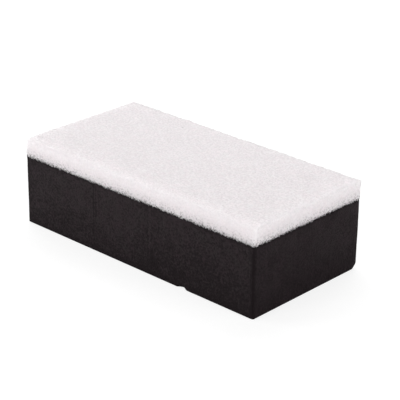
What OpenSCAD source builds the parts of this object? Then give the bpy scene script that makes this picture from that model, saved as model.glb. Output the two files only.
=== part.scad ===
// Coating applicator: a hand-held block of firm black closed-cell foam with a
// layer of soft white open-cell foam bonded over its top face. The block is
// held between finger and thumb, and the white foam spreads the coating.
//
// Millimetres. The origin is the middle of the block's bottom face, +X runs
// along the block, +Y across it and +Z up through the white foam.

/* [Backing block] */
// Length of the black foam block
block_l = 80; // [50:0.5:120]
// Width of the black foam block
block_w = 39.6; // [30:0.1:60]
// Height of the black foam block
block_h = 19.2; // [12:0.1:40]
// Radius of the four upright edges of the block
block_side_r = 0.7; // [0.5:0.1:4]
// Radius of the edges around the bottom face of the block
block_base_r = 0.25; // [0.1:0.05:0.5]

/* [Coating pad] */
// Thickness of the white foam layer
pad_h = 4.8; // [3:0.1:12]
// How far the white foam swells out past the sides of the block
pad_swell = 0.2; // [0.1:0.05:1]
// Radius of the edges around the working face of the white foam
pad_face_r = 0.6; // [0.2:0.1:0.9]

/* [Wear] */
// How far the wear runs along each edge from the worn bottom corner
worn_l = 2; // [1:0.1:3.5]
// Radius of the ball that the worn corner's surface is part of
worn_ball_r = 7.7; // [6:0.1:15]
// Distance of the nick in the long bottom edge from the middle of the block
nick_x = 16.7; // [-20:0.1:20]
// Length of the nick along the edge
nick_l = 3.4; // [2:0.1:6]
// Depth of the nick, measured in from where the two faces meet
nick_d = 0.7; // [0.4:0.05:1]

/* [Hidden] */
$fn = 96;

// The upright edges of the swollen foam share their axes with the block's own
pad_side_r = block_side_r + pad_swell;

// The ball's centre, in from all three faces, so that its surface crosses the
// three edges at worn_l from the corner
worn_centre = (worn_l + sqrt(3 * pow(worn_ball_r, 2) - 2 * pow(worn_l, 2))) / 3;

// The nick is part of a round whose chord is nick_l and whose depth is nick_d
nick_r = (pow(nick_l / 2, 2) + pow(nick_d, 2)) / (2 * nick_d);

// Side view of a slab's rim, from the axis of its upright edges (x = 0) out to
// its side face (x = reach), rounded by low_r at the bottom and high_r at the top
module rim_profile(reach, height, low_r, high_r) {
    difference() {
        square([reach, height]);
        if (low_r > 0) translate([reach, 0]) mirror([1, 0]) fillet_waste(low_r);
        if (high_r > 0) translate([reach, height]) rotate(180) fillet_waste(high_r);
    }
}

// What a radius r takes away from a square corner at the origin
module fillet_waste(r) {
    difference() {
        square(r);
        translate([r, r]) circle(r);
    }
}

// A slab standing on z = 0: a core, a straight rim along each side and a turned
// rim in each corner, all meeting face to face
module rounded_slab(length, width, height, side_r, low_r, high_r) {
    core_l = length - 2 * side_r;
    core_w = width - 2 * side_r;

    translate([-core_l / 2, -core_w / 2, 0]) cube([core_l, core_w, height]);

    for (turn = [0, 180]) rotate(turn) {
        translate([-core_l / 2, core_w / 2, 0])
            rotate([90, 0, 90])
                linear_extrude(core_l) rim_profile(side_r, height, low_r, high_r);
        translate([core_l / 2, core_w / 2, 0])
            rotate([90, 0, 0])
                linear_extrude(core_w) rim_profile(side_r, height, low_r, high_r);
        translate([core_l / 2, core_w / 2, 0])
            rotate_extrude(angle = 90) rim_profile(side_r, height, low_r, high_r);
        translate([-core_l / 2, core_w / 2, 0])
            rotate(90)
                rotate_extrude(angle = 90) rim_profile(side_r, height, low_r, high_r);
    }
}

// What wear has taken off the bottom corner at the +X, +Y end: all of that
// corner that lies outside the ball
module worn_corner_waste() {
    translate([block_l / 2 - worn_centre, block_w / 2 - worn_centre, worn_centre])
        mirror([0, 0, 1])
            difference() {
                cube(worn_centre + worn_l);
                sphere(worn_ball_r);
            }
}

// A round nick across the bottom edge of the -Y side
module nick_waste() {
    translate([nick_x, -block_w / 2, 0])
        rotate([135, 0, 0])
            translate([0, 0, nick_r - nick_d])
                rotate([90, 0, 0]) cylinder(r = nick_r, h = 2 * nick_l, center = true);
}

// Firm black closed-cell foam, cut from sheet on all sides
module backing_block() {
    color([0.16, 0.14, 0.15])
        difference() {
            rounded_slab(block_l, block_w, block_h, block_side_r, block_base_r, 0);
            worn_corner_waste();
            nick_waste();
        }
}

// Soft white open-cell foam. It meets the block's top face on the block's own
// outline, and swells out over the sides above that
module coating_pad() {
    color([0.93, 0.91, 0.92])
        translate([0, 0, block_h])
            rounded_slab(block_l + 2 * pad_swell, block_w + 2 * pad_swell, pad_h,
                         pad_side_r, pad_swell, min(pad_face_r, pad_side_r));
}

backing_block();
coating_pad();
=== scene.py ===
"""Coating applicator: a hand block of black foam with a soft white foam face."""
import math

import bpy
from mathutils import Matrix, Vector


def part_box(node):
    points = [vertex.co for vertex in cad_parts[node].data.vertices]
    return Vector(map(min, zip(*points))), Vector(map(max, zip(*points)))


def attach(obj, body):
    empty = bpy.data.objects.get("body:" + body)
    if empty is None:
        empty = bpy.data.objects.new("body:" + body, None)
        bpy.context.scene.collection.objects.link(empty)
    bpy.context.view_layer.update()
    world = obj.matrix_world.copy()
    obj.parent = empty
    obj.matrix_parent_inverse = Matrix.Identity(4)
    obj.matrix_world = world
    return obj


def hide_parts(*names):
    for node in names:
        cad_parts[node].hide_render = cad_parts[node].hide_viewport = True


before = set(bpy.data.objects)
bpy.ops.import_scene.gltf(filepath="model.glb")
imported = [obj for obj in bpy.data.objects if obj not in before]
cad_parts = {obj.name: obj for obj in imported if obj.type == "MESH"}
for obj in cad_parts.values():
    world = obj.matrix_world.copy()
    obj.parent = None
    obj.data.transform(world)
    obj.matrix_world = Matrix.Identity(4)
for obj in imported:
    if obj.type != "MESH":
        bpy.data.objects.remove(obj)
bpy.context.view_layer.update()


# --- Backing block -----------------------------------------------------------
# The grip: firm black closed-cell foam, sawn square from thick sheet, so its
# sides carry faint upright blade marks. The white pad is bonded on its top.

mm = 0.001
touch = 0.01 * mm
block_low, block_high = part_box("backing_block")
block_corner_r = 0.32 * mm, 0.7 * mm, 0.7 * mm, 0.7 * mm
block_base_r = 0.1 * mm
nick_x, nick_l, nick_d = 16.7 * mm, 3.4 * mm, 0.7 * mm
worn_l, worn_ball_r, worn_room = 2 * mm, 7.7 * mm, 0.2 * mm
block_mesh = 0.26 * mm
wave_l, wave_h = 14 * mm, 0.30 * mm
blade_mark_l, blade_mark_h = 0.9 * mm, 0.05 * mm
block_skin_l, block_skin_h = 0.9 * mm, 0.06 * mm
flat_near, flat_in = 0.05 * mm, 3 * mm


def start_box(name, low, high):
    """Adds a closed box between two corners and leaves it as the one selected object."""
    bpy.ops.object.select_all(action="DESELECT")
    bpy.ops.mesh.primitive_cube_add(size=1, location=(low + high) / 2, scale=high - low)
    return name_piece(name)


def name_piece(name):
    """Names the new object and moves its place, turn and scale into its mesh."""
    piece = bpy.context.object
    piece.name = name
    bpy.ops.object.transform_apply(location=True, rotation=True, scale=True)
    return piece


def select_part(piece, wanted, kind):
    """Enters edit mode with the faces or edges selected whose points all pass the test."""
    bpy.ops.object.select_all(action="DESELECT")
    piece.select_set(True)
    bpy.context.view_layer.objects.active = piece
    bpy.ops.object.mode_set(mode="EDIT")
    bpy.ops.mesh.select_mode(type=kind)
    bpy.ops.mesh.select_all(action="DESELECT")
    bpy.ops.object.mode_set(mode="OBJECT")
    passed = [wanted(point.co) for point in piece.data.vertices]
    for part in piece.data.edges if kind == "EDGE" else piece.data.polygons:
        part.select = all(passed[i] for i in part.vertices)
    bpy.ops.object.mode_set(mode="EDIT")


def round_edges(piece, wanted, radius, steps):
    """Rounds the edges whose ends both pass the test."""
    select_part(piece, wanted, "EDGE")
    bpy.ops.mesh.bevel(offset=radius, segments=steps)
    bpy.ops.object.mode_set(mode="OBJECT")


def round_corners(piece, low, high, radii):
    """Rounds a box's upright edges: left front, left back, right front, right back."""
    corners = (low.x, low.y), (low.x, high.y), (high.x, low.y), (high.x, high.y)
    for (x, y), radius in zip(corners, radii):
        round_edges(piece, lambda p: abs(p.x - x) + abs(p.y - y) < touch, radius, 6)


def shape(piece, kind, **settings):
    """Gives the piece a modifier and applies it."""
    modifier = piece.modifiers.new(kind.title(), kind)
    for key, value in settings.items():
        setattr(modifier, key, value)
    bpy.context.view_layer.objects.active = piece
    bpy.ops.object.modifier_apply(modifier=modifier.name)


def cut_away(piece, tool):
    """Takes the tool's volume out of the piece and throws the tool away."""
    shape(piece, "BOOLEAN", operation="DIFFERENCE", object=tool)
    bpy.data.objects.remove(tool)


def weigh(piece, name, amount):
    """Makes a vertex group whose weight at each point is amount(place)."""
    group = piece.vertex_groups.new(name=name)
    for point in piece.data.vertices:
        weight = amount(point.co)
        if weight > 0:
            group.add((point.index,), min(weight, 1), "REPLACE")


def roughen(piece, where, size, height, **settings):
    """Moves a weighted surface in and out by a cloudy pattern of that size and full height."""
    clouds = bpy.data.textures.new(piece.name, "CLOUDS")
    clouds.noise_scale = size
    shape(piece, "DISPLACE", texture=clouds, strength=height, vertex_group=where, **settings)


def roughen_upright(piece, where, size, height, **settings):
    """Roughens with the pattern drawn out thirty times along Z."""
    guide = bpy.data.objects.new("upright_guide", None)
    bpy.context.scene.collection.objects.link(guide)
    guide.scale = (1, 1, 30)
    bpy.context.view_layer.update()
    roughen(piece, where, size, height, texture_coords="OBJECT", texture_coords_object=guide, **settings)
    bpy.data.objects.remove(guide)


def between(value, start, end):
    """0 at the start, 1 at the end, in a straight rise between them and held beyond them."""
    return min(max((value - start) / (end - start), 0), 1)


def flatten(piece, wanted):
    """Makes one face of a flat area of small faces."""
    select_part(piece, wanted, "FACE")
    bpy.ops.mesh.dissolve_faces()
    bpy.ops.object.mode_set(mode="OBJECT")


# The sawn blank, with its upright edges broken and its bottom edge nearly sharp.
block = start_box("black_foam_block", block_low, block_high)
round_corners(block, block_low, block_high, block_corner_r)
round_edges(block, lambda p: p.z < touch, block_base_r, 2)

# A small nick in the long front bottom edge, its circle lying in the slanting
# plane that holds the edge.
nick_r = ((nick_l / 2) ** 2 + nick_d ** 2) / (2 * nick_d)
nick_place = Vector((nick_x, block_low.y, 0)) - Vector((0, 1, 1)).normalized() * (nick_r - nick_d)
bpy.ops.object.select_all(action="DESELECT")
bpy.ops.mesh.primitive_cylinder_add(
    vertices=64, radius=nick_r, depth=2 * nick_l, location=nick_place, rotation=(math.pi / 4, 0, 0))
cut_away(block, name_piece("nick_tool"))

# The bottom corner that is worn round: what lies outside a ball goes.
worn_in = (worn_l + math.sqrt(3 * worn_ball_r ** 2 - 2 * worn_l ** 2)) / 3
worn_reach = worn_l + worn_room
corner = Vector((block_high.x, block_high.y, 0))
worn_tool = start_box(
    "worn_tool", corner - Vector((worn_reach, worn_reach, mm)), corner + Vector((mm, mm, worn_reach)))
bpy.ops.object.select_all(action="DESELECT")
bpy.ops.mesh.primitive_uv_sphere_add(
    segments=96, ring_count=48, radius=worn_ball_r, location=corner + Vector((-worn_in, -worn_in, worn_in)))
cut_away(worn_tool, name_piece("worn_ball"))
cut_away(block, worn_tool)

# One even mesh, then the waves of the cut, its blade marks and the foam's own
# skin. The top and the bottom stay flat.
shape(block, "REMESH", mode="VOXEL", voxel_size=block_mesh)
weigh(block, "sides", lambda p: min(
    between(p.z, 0.1 * mm, 1.0 * mm), between(block_high.z - p.z, 0.3 * mm, 1.6 * mm)))
roughen(block, "sides", wave_l, wave_h)
roughen_upright(block, "sides", blade_mark_l, blade_mark_h)
weigh(block, "skin", lambda p: between(block_high.z - p.z, 0.1 * mm, 0.6 * mm) if p.z > 0.15 * mm else 0)
roughen(block, "skin", block_skin_l, block_skin_h)
flatten(block, lambda p: p.z > block_high.z - flat_near)
flatten(block, lambda p: p.z < flat_near
        and abs(p.x) < block_high.x - flat_in and abs(p.y) < block_high.y - flat_in)
block.vertex_groups.clear()
bpy.ops.object.shade_smooth()


def add(tree, kind, feeds=None, **settings):
    """Adds a node, with settings on the node and numbers or other nodes' sockets on its inputs."""
    made = tree.nodes.new(kind)
    for key, value in settings.items():
        setattr(made, key, value)
    for socket, value in (feeds or {}).items():
        if isinstance(value, bpy.types.NodeSocket):
            tree.links.new(value, made.inputs[socket])
        else:
            made.inputs[socket].default_value = value
    return made


def calc(tree, operation, *values):
    """A sum on values or sockets."""
    return add(tree, "ShaderNodeMath", dict(enumerate(values)), operation=operation).outputs[0]


def held(tree, value):
    """The value, held between 0 and 1."""
    return add(tree, "ShaderNodeClamp", {"Value": value}).outputs[0]


def spread(tree, value, low, high, to_low=0.0, to_high=1.0):
    """Carries value from low..high over to to_low..to_high, eased and held at the ends."""
    feeds = {"Value": value, "From Min": low, "From Max": high, "To Min": to_low, "To Max": to_high}
    return add(tree, "ShaderNodeMapRange", feeds, interpolation_type="SMOOTHSTEP").outputs["Result"]


def tint(tree, amount, under, over):
    """Mixes two colours, either of them a value or a socket."""
    feeds = {0: amount, 6: under, 7: over}
    return add(tree, "ShaderNodeMix", feeds, data_type="RGBA").outputs[2]


def start_group(name, inputs, outputs):
    """Opens a shader node group with named sockets and gives its tree, way in and way out."""
    tree = bpy.data.node_groups.new(name, "ShaderNodeTree")
    for socket, kind, value in inputs:
        made = tree.interface.new_socket(socket, in_out="INPUT", socket_type=kind)
        if value is not None:
            made.default_value = value
    for socket, kind in outputs:
        tree.interface.new_socket(socket, in_out="OUTPUT", socket_type=kind)
    return tree, add(tree, "NodeGroupInput").outputs, add(tree, "NodeGroupOutput").inputs


# Foam cells: round pits with raised walls, some of them deep and dark.
cells, cells_in, cells_out = start_group(
    "foam cells",
    (("Vector", "NodeSocketVector", None), ("Cells per metre", "NodeSocketFloat", 2000.0),
     ("Open cells", "NodeSocketFloat", 0.2)),
    (("Height", "NodeSocketFloat"), ("Pores", "NodeSocketFloat")))
warp = add(cells, "ShaderNodeTexNoise", {
    "Vector": cells_in["Vector"], "Scale": calc(cells, "MULTIPLY", cells_in["Cells per metre"], 0.7)})
bend = 0.5 * mm
bent = add(cells, "ShaderNodeVectorMath", {
    0: warp.outputs["Color"], 1: (bend, bend, bend), 2: cells_in["Vector"]}, operation="MULTIPLY_ADD")
cell = add(cells, "ShaderNodeTexVoronoi", {"Vector": bent.outputs[0], "Scale": cells_in["Cells per metre"]})
wall = spread(cells, cell.outputs["Distance"], 0.15, 0.75)
cells.links.new(wall, cells_out["Height"])
lot = add(cells, "ShaderNodeSeparateColor", {"Color": cell.outputs["Color"]}).outputs[0]
open_cell = calc(cells, "LESS_THAN", lot, cells_in["Open cells"])
hollow = spread(cells, cell.outputs["Distance"], 0.4, 0.7, 1.0, 0.0)
cells.links.new(calc(cells, "MULTIPLY", open_cell, hollow), cells_out["Pores"])

# Tone: slow uneven patches, from 0 to 1 around a half.
tone, tone_in, tone_out = start_group(
    "foam tone",
    (("Vector", "NodeSocketVector", None), ("Patches per metre", "NodeSocketFloat", 100.0)),
    (("Tone", "NodeSocketFloat"),))
patches = add(tone, "ShaderNodeTexNoise", {
    "Vector": tone_in["Vector"], "Scale": tone_in["Patches per metre"], "Detail": 3.0, "Roughness": 0.6})
tone.links.new(spread(tone, patches.outputs["Fac"], 0.3, 0.7), tone_out["Tone"])


def foam_cells(tree, place, per_metre, open_share):
    """The foam's cells at that fineness, with that share of them open."""
    feeds = {"Vector": place, "Cells per metre": per_metre, "Open cells": open_share}
    return add(tree, "ShaderNodeGroup", feeds, node_tree=cells).outputs


def foam_tone(tree, place, per_metre):
    """The foam's uneven tone at that fineness."""
    feeds = {"Vector": place, "Patches per metre": per_metre}
    return add(tree, "ShaderNodeGroup", feeds, node_tree=tone).outputs["Tone"]


def start_material(name, piece):
    """Gives the piece a new material and returns its tree, shader and object coordinates."""
    material = bpy.data.materials.new(name)
    material.use_nodes = True
    piece.data.materials.clear()
    piece.data.materials.append(material)
    tree = material.node_tree
    place = add(tree, "ShaderNodeTexCoord").outputs["Object"]
    return tree, tree.nodes["Principled BSDF"], place


def drawn(tree, place, upright):
    """The place with its height scaled, which draws a pattern out or presses it flat along Z."""
    return add(tree, "ShaderNodeMapping", {"Vector": place, "Scale": (1, 1, upright)}).outputs[0]


def split(tree, place):
    """The place's three parts."""
    return add(tree, "ShaderNodeSeparateXYZ", {"Vector": place}).outputs


def spot(tree, place, centre, radius):
    """1 at a point of the piece, fading to 0 at the radius."""
    reach = add(tree, "ShaderNodeVectorMath", {0: place, 1: centre}, operation="DISTANCE").outputs["Value"]
    return spread(tree, reach, radius * 0.3, radius, 1.0, 0.0)


def with_patterns(tree, start, *parts):
    """start plus each pattern's share, the pattern counted from its middle, a half."""
    for pattern, share in parts:
        centred = calc(tree, "MULTIPLY_ADD", pattern, share, -share / 2)
        start = calc(tree, "ADD", start, centred)
    return start


def with_masks(tree, start, *parts):
    """start plus each mask times its share."""
    for mask, share in parts:
        start = calc(tree, "MULTIPLY_ADD", mask, share, start)
    return start


# Black foam: a dark warm grey, cloudy from handling, with upright streaks of the
# blade and fine closed cells. The amount below picks between its dark and light.
tree, shader, place = start_material("black_foam", block)
foam_dark = (0.0073, 0.0040, 0.0051, 1)
foam_light_grey = (0.0212, 0.0160, 0.0172, 1)
foam_light_red = (0.0232, 0.0148, 0.0180, 1)
cloudy = foam_tone(tree, place, 130.0)
smudge = foam_tone(tree, place, 420.0)
grain = foam_tone(tree, drawn(tree, place, 1.2), 2000.0)
streaks = foam_tone(tree, drawn(tree, place, 0.05), 800.0)
hue = foam_tone(tree, place, 350.0)
pits = foam_cells(tree, place, 3200.0, 0.3)
x, y, z = split(tree, place)
front_side = calc(tree, "LESS_THAN", y, block_low.y + 1 * mm)
right_side = calc(tree, "GREATER_THAN", x, block_high.x - 1 * mm)
line_fade = spread(tree, z, 0, 9 * mm)


def blade_line(along, half_width):
    """1 on an upright line of the front side, both sizes in millimetres, fading out at its foot."""
    off = calc(tree, "ABSOLUTE", calc(tree, "SUBTRACT", x, along * mm))
    line = spread(tree, off, half_width * mm * 0.3, half_width * mm, 1.0, 0.0)
    return calc(tree, "MULTIPLY", line_fade, calc(tree, "MULTIPLY", front_side, line))


# Lightness: it rises with height, a painted shade darkening towards the foot, and more steeply on the right
# half of the front side. The grain is fainter on the short right side, and that side is a little darker with
# painted shade.
right_of_middle = calc(tree, "MULTIPLY", front_side, spread(tree, x, -15 * mm, 12 * mm))
near_end = calc(tree, "MULTIPLY", front_side, spread(tree, x, 5 * mm, 35 * mm))
rise = calc(tree, "MULTIPLY_ADD", right_of_middle, 0.24, 0.42)
even = calc(tree, "MULTIPLY", right_side, calc(tree, "SUBTRACT", 0.5, grain))
amount = with_patterns(tree, 0.22, (cloudy, 0.22), (smudge, 0.28), (grain, 1.46), (streaks, 0.05))
amount = with_masks(
    tree, amount, (spread(tree, z, -4 * mm, 16 * mm), rise), (right_of_middle, -0.20),
    (near_end, -0.08), (right_side, -0.05), (even, 0.42))

# Painted shade in two fine grooves that the blade pressed in, then a light line with a dark one on either
# side, then four broad bands: place along, half width, share.
for along, half_width, share in (
        (-14.4, 0.25, -1.1), (-13.55, 0.22, -0.44),
        (5.58, 0.14, 1.05), (4.95, 0.25, -0.3675), (6.3, 0.25, -0.315),
        (-18, 4, 0.12), (-4, 6.5, 0.18), (6, 4, -0.16), (24, 5, -0.10)):
    amount = with_masks(tree, amount, (blade_line(along, half_width), share))

# Light specks, then large light and dull patches: middle, radius, share.
for centre, radius, share in (
        ((-4.2, -19.8, 11.5), 0.6, 0.7), ((-19.6, -19.8, 2.6), 0.6, 0.6), ((2.0, -19.8, 4.7), 0.6, 0.6),
        ((40.0, 12.7, 15.5), 0.8, 0.3), ((-13.0, -19.8, 15.0), 14.0, 0.12), ((2.0, -19.8, 15.0), 10.0, 0.09),
        ((14.0, -19.8, 16.0), 5.0, 0.2), ((5.0, -19.8, 3.6), 5.0, -0.34), ((14.0, -19.8, 5.0), 9.0, -0.08),
        ((16.2, -19.8, 3.7), 3.2, -0.3), ((7.6, -19.8, 4.2), 2.2, -0.25), ((40.0, 8.0, 15.0), 14.0, -0.05),
        ((40.0, 4.0, 10.0), 7.0, -0.16)):
    amount = with_masks(tree, amount, (spot(tree, place, Vector(centre) * mm, radius * mm), share))

# Painted shade along the upright edges, a painted shadow under the pad and painted shade at the foot of the
# front side.
# The band along an upright edge is a third wider on the long sides.
from_end = calc(tree, "MULTIPLY", calc(tree, "SUBTRACT", block_high.x, calc(tree, "ABSOLUTE", x)), 0.75)
from_side = calc(tree, "SUBTRACT", block_high.y, calc(tree, "ABSOLUTE", y))
edge_far = calc(tree, "MULTIPLY_ADD", smudge, 0.5 * mm, calc(tree, "MAXIMUM", from_end, from_side))
edge = spread(tree, edge_far, 0.25 * mm, 1.3 * mm, 1.0, 0.0)
under_pad_shadow = spread(tree, z, block_high.z - 1.2 * mm, block_high.z - 0.6 * mm)
foot = calc(tree, "MULTIPLY", front_side, spread(tree, z, 0.6 * mm, 2.0 * mm, 1.0, 0.0))
amount = held(tree, with_masks(tree, amount, (edge, -0.95), (under_pad_shadow, -0.38), (foot, -0.4)))

colour = tint(tree, amount, foam_dark, tint(tree, hue, foam_light_grey, foam_light_red))
tree.links.new(colour, shader.inputs["Base Color"])
tree.links.new(spread(tree, cloudy, 0, 1, 0.62, 0.50), shader.inputs["Roughness"])
shader.inputs["Specular IOR Level"].default_value = 0.13
surface = with_masks(tree, 0.0, (streaks, 0.15), (pits["Height"], 0.5), (grain, 0.5))
bump = add(tree, "ShaderNodeBump", {"Height": surface, "Strength": 0.6, "Distance": 0.1 * mm})
tree.links.new(bump.outputs[0], shader.inputs["Normal"])

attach(block, "root")
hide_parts("backing_block")


# --- Coating pad -------------------------------------------------------------
# The working face: soft white open-cell foam that takes up the coating. It was
# cut with the block, and its bonded lower rim is frayed over the black foam.

pad_low, pad_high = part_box("coating_pad")
seam_z = pad_low.z
pad_corner_r = 0.9 * mm, 1.2 * mm, 0.5 * mm, 1.0 * mm
pad_face_r = 0.6 * mm
pad_mesh = 0.28 * mm
soft_w, soft_h = 3.0 * mm, 2.5 * mm
dent_l, dent_h = 3 * mm, 0.25 * mm
pad_skin_l, pad_skin_h = 0.5 * mm, 0.16 * mm
ragged_l, ragged_h = 1.2 * mm, 0.4 * mm
hem_h, hem_in = 0.8 * mm, 0.2 * mm
hem_out, hem_squeeze, hem_corner = 0.09 * mm, 0.3, 1.2 * mm
tooth_l, tooth_h = 0.24 * mm, 1.3 * mm
seam_in = 0.5 * mm


def push(piece, name, amount, move):
    """Moves the skin where amount(place) is above 0, by that share of the move."""
    weigh(piece, name, amount)
    for axis, length in zip("XYZ", move):
        if length:
            shape(piece, "DISPLACE", strength=length, mid_level=0, direction=axis, vertex_group=name)


def push_spot(piece, name, centre, radius, move):
    """Moves the skin round a point by a move that fades to nothing at the radius."""

    def amount(p):
        share = between((p - centre).length, radius, 0)
        return share ** 2 * (3 - 2 * share)

    push(piece, name, amount, move)


pad = start_box("white_foam_pad", pad_low, pad_high)
round_corners(pad, pad_low, pad_high, pad_corner_r)
round_edges(pad, lambda p: p.z > pad_high.z - touch, pad_face_r, 6)
shape(pad, "REMESH", mode="VOXEL", voxel_size=pad_mesh)

# The long front edge is pressed softer than the others, and so is the corner at
# its far end. The corner at the right end is drawn out to a tip, and a small lump
# stands out of the long back edge.
push(pad, "front_edge", lambda p: between(p.y, pad_low.y + soft_w, pad_low.y)
     * between(p.z, pad_high.z - soft_h, pad_high.z), Vector((0, 0.3, -0.3)) * mm)
push_spot(pad, "left_corner", Vector((pad_low.x, pad_low.y, pad_high.z)), 2.2 * mm,
          Vector((0.1, 0.1, -0.25)) * mm)
push_spot(pad, "tip", pad_high, 1.6 * mm, Vector((0.4, 0.4, 0.25)) * mm)
push_spot(pad, "lump", Vector((-18.5 * mm, pad_high.y, pad_high.z)), 1.6 * mm, Vector((0, 0.12, 0.2)) * mm)

# Shallow dents and a fine skin, and a ragged cut along the left and back rims.
weigh(pad, "skin", lambda p: between(p.z, seam_z + 0.4 * mm, seam_z + 1.0 * mm))
roughen(pad, "skin", dent_l, dent_h)
roughen(pad, "skin", pad_skin_l, pad_skin_h)
weigh(pad, "far_rims", lambda p: between(p.z, pad_high.z - 1.5 * mm, pad_high.z - 0.5 * mm) * max(
    between(-p.x, -pad_low.x - 2 * mm, -pad_low.x - 0.5 * mm),
    between(p.y, pad_high.y - 2 * mm, pad_high.y - 0.5 * mm)))
roughen(pad, "far_rims", ragged_l, ragged_h, mid_level=0.55)


def on_hem(p):
    """True on the lowest band of the pad's sides and on the rim beneath it."""
    return p.z < seam_z + hem_h and (
        abs(p.x) > block_high.x - hem_in or abs(p.y) > block_high.y - hem_in)


# Along each side the hem is squeezed towards a plane just outside the block. Then
# it is cut finer, and its teeth of foam hang over the seam.
for way in (Vector((1, 0, 0)), Vector((-1, 0, 0)), Vector((0, 1, 0)), Vector((0, -1, 0))):
    across = Vector((way.y, way.x, 0))
    side, reach = abs(block_high.dot(way)), abs(block_high.dot(across)) - hem_corner
    select_part(
        pad, lambda p: on_hem(p) and p.dot(way) > side - hem_in and abs(p.dot(across)) < reach, "FACE")
    squeeze = [hem_squeeze if step else 1 for step in way]
    bpy.ops.transform.resize(value=squeeze, center_override=way * (side + hem_out))
    bpy.ops.object.mode_set(mode="OBJECT")
select_part(pad, on_hem, "FACE")
bpy.ops.mesh.subdivide(number_cuts=3)
bpy.ops.object.mode_set(mode="OBJECT")
weigh(pad, "frayed", lambda p: 1 - between(p.z, seam_z + 0.1 * mm, seam_z + 0.6 * mm) if on_hem(p) else 0)
roughen_upright(pad, "frayed", tooth_l, tooth_h, direction="Z", mid_level=0.6)
flatten(pad, lambda p: p.z < seam_z + touch
        and abs(p.x) < block_high.x - seam_in and abs(p.y) < block_high.y - seam_in)
pad.vertex_groups.clear()
bpy.ops.object.shade_smooth()

# White foam: pale walls, some of them pinker, round shallow greyer pits. The
# pits show more on the working face than on the sides.
tree, shader, place = start_material("white_foam", pad)
wall_grey = (0.932, 0.890, 0.904, 1)
wall_pink = (0.951, 0.877, 0.900, 1)
foam_pit = (0.784, 0.728, 0.748, 1)
pore_dark = (0.04, 0.026, 0.032, 1)
x, y, z = split(tree, place)
pits = foam_cells(tree, place, 2300.0, 0.35)["Height"]
soft = foam_tone(tree, place, 250.0)
fine = foam_tone(tree, place, 1700.0)
blush = foam_tone(tree, place, 550.0)
texture = with_patterns(tree, 0.0, (pits, 0.55), (fine, 0.6), (soft, 0.05))
on_top = spread(tree, z, pad_high.z - 0.9 * mm, pad_high.z - 0.1 * mm)
contrast = calc(tree, "MULTIPLY_ADD", on_top, 0.5, 0.5)
amount = held(tree, calc(tree, "MULTIPLY_ADD", texture, contrast, 0.5))
colour = tint(tree, amount, foam_pit, tint(tree, blush, wall_grey, wall_pink))

# The rim is a little greyer with painted shade that dims its highlight, though less so at the right end.
# Along the left part of the front that painted shade is stronger and wider, and the front side greys to the
# right.
end_far = calc(tree, "SUBTRACT", pad_high.x, calc(tree, "ABSOLUTE", x))
side_far = calc(tree, "SUBTRACT", pad_high.y, calc(tree, "ABSOLUTE", y))
top_far = calc(tree, "SUBTRACT", pad_high.z, z)
rim_far = calc(tree, "MAXIMUM", calc(tree, "MINIMUM", end_far, side_far), top_far)
front_side = calc(tree, "LESS_THAN", y, pad_low.y + 1.2 * mm)
rim = calc(tree, "MULTIPLY", spread(tree, rim_far, 0.1 * mm, 1.1 * mm, 0.6, 0.0),
           spread(tree, x, 30 * mm, 38 * mm, 1.0, 0.65))
left_rim_shade = calc(tree, "MULTIPLY", spread(tree, x, -38 * mm, 5 * mm, 0.45, 0.0),
                spread(tree, rim_far, 0.3 * mm, 1.5 * mm, 1.0, 0.0))
left_end_shade = calc(tree, "MULTIPLY", spread(tree, x, -38 * mm, -24 * mm, 0.5, 0.0),
                spread(tree, rim_far, 0.2 * mm, 0.8 * mm, 1.0, 0.0))
near_end = spread(tree, x, 2 * mm, 30 * mm, 0.0, 0.2)
rim = with_masks(tree, rim, (front_side, near_end), (front_side, left_rim_shade), (front_side, left_end_shade))
colour = tint(tree, rim, colour, foam_pit)

# Towards the seam the foam greys with painted shade from the black block below, its pores open and the black
# foam shows through them.


def fall(reach):
    """1 at the seam and below it, falling evenly to 0 at the reach above it."""
    return held(tree, calc(tree, "MULTIPLY_ADD", z, -1 / reach, (seam_z + reach) / reach))


pore_depth = with_masks(
    tree, 0.0, (calc(tree, "POWER", fall(1.1 * mm), 2.0), 0.50), (fall(2.8 * mm), 0.42))
above_teeth = calc(tree, "GREATER_THAN", z, seam_z - 0.15 * mm)
pore_depth = calc(tree, "MULTIPLY", above_teeth, pore_depth)
pores = foam_cells(tree, place, 2600.0, 0.38)["Pores"]
colour = tint(tree, calc(tree, "MULTIPLY", fall(2.8 * mm), 0.45), colour, foam_pit)
colour = tint(tree, calc(tree, "MULTIPLY", pores, pore_depth), colour, pore_dark)

# One dark crumb on the working face.
crumb = spot(tree, place, Vector((-16.2, 14.6, 24.0)) * mm, 0.4 * mm)
colour = tint(tree, calc(tree, "MULTIPLY", crumb, 0.3), colour, pore_dark)

tree.links.new(colour, shader.inputs["Base Color"])
shader.inputs["Roughness"].default_value = 0.95
shader.inputs["Specular IOR Level"].default_value = 0.1
shader.inputs["Subsurface Weight"].default_value = 1.0
shader.inputs["Subsurface Radius"].default_value = (1.0, 1.0, 1.0)
shader.inputs["Subsurface Scale"].default_value = 3.5 * mm
bump = add(tree, "ShaderNodeBump", {"Height": pits, "Strength": 0.8, "Distance": 0.12 * mm})
tree.links.new(bump.outputs[0], shader.inputs["Normal"])

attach(pad, "root")
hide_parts("coating_pad")


# --- Table and light ---------------------------------------------------------
# A plain white table with soft boxes low on both sides of the camera, one at
# each end and a wide one behind and above.

table_r, table_drop = 3, 0.05 * mm
bpy.ops.object.select_all(action="DESELECT")
bpy.ops.mesh.primitive_circle_add(vertices=96, radius=table_r, fill_type="NGON")
table = name_piece("table")
table.data.transform(Matrix.Translation((0, 0, -table_drop)))

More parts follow.
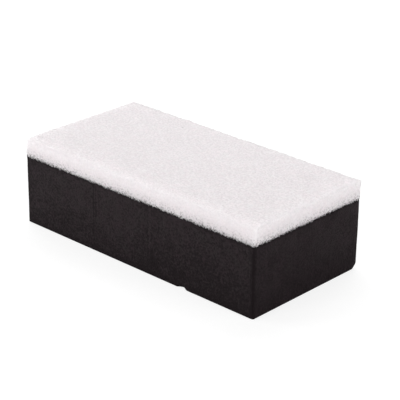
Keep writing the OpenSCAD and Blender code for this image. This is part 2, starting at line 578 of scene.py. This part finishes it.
# The camera sees a bright white top that still holds the block's shadow, and the
# block itself is lit by a plain grey one.
tree, shader, place = start_material("table_white", table)
shader.inputs["Base Color"].default_value = (0.5, 0.5, 0.5, 1)
shader.inputs["Specular IOR Level"].default_value = 0
shader.inputs["Roughness"].default_value = 1
far = add(tree, "ShaderNodeVectorMath", {0: place}, operation="LENGTH").outputs["Value"]
glow = add(tree, "ShaderNodeEmission", {"Strength": spread(tree, far, 0.12, 0.5, 0.8, 1.0)})
paper = add(tree, "ShaderNodeBsdfDiffuse", {"Color": (0.3, 0.3, 0.3, 1)})
seen = add(tree, "ShaderNodeAddShader", {0: glow.outputs[0], 1: paper.outputs[0]})
ray = add(tree, "ShaderNodeLightPath")
mixed = add(tree, "ShaderNodeMixShader", {
    0: ray.outputs["Is Camera Ray"], 1: shader.outputs[0], 2: seen.outputs[0]})
tree.links.new(mixed.outputs[0], tree.nodes["Material Output"].inputs["Surface"])

world = bpy.data.worlds.new("white_room")
bpy.context.scene.world = world
world.use_nodes = True
tree = world.node_tree
ray = add(tree, "ShaderNodeLightPath")
tree.links.new(ray.outputs["Is Camera Ray"], tree.nodes["Background"].inputs["Strength"])
tree.nodes["Background"].inputs["Color"].default_value = (1, 1, 1, 1)

light_far = 1.1
view_turn, view_rise, view_roll = math.radians(43.0065), math.radians(23.7467), math.radians(0.6494)


def soft_box(name, turn, rise, size, watts):
    """A soft box aimed at the block, turned in degrees from the camera's side towards the right."""
    turn, rise = view_turn - math.pi / 2 + math.radians(turn), math.radians(rise)
    level = Vector((math.cos(turn), math.sin(turn), 0)) * math.cos(rise)
    way = level + Vector((0, 0, math.sin(rise)))
    bpy.ops.object.light_add(
        type="AREA", location=way * light_far, rotation=way.to_track_quat("Z", "Y").to_euler())
    light = bpy.context.object
    light.name = name
    light.data.shape = "RECTANGLE"
    light.data.size, light.data.size_y = size
    light.data.energy = watts


soft_box("left_box", -98, 20, (0.65, 0.7), 5.8)
soft_box("left_front_box", -50, 18, (0.55, 0.6), 6.2)
soft_box("right_front_box", 45, 18, (0.55, 0.6), 7.2)
soft_box("right_box", 75, 20, (0.55, 0.7), 2.0)
soft_box("back_box", 180, 50, (1.1, 0.55), 8.8)


# --- Camera ------------------------------------------------------------------
# A long lens at the height of a seated eye, looking down at the corner where the
# long front side and the short right side meet.

view_point, view_far = Vector((-0.934, 5.425, 10.465)) * mm, 400.98 * mm
lens_f, film_w = 138.645, 36
turned = Matrix.Rotation(view_turn, 4, "Z") @ Matrix.Rotation(math.pi / 2 - view_rise, 4, "X")
turned = turned @ Matrix.Rotation(view_roll, 4, "Z")
bpy.ops.object.camera_add()
camera = bpy.context.object
camera.data.lens = lens_f
camera.data.sensor_width = film_w
camera.data.clip_end = 20
camera.matrix_world = Matrix.Translation(view_point) @ turned @ Matrix.Translation((0, 0, view_far))
bpy.context.scene.camera = camera
bpy.context.scene.view_settings.view_transform = "Standard"
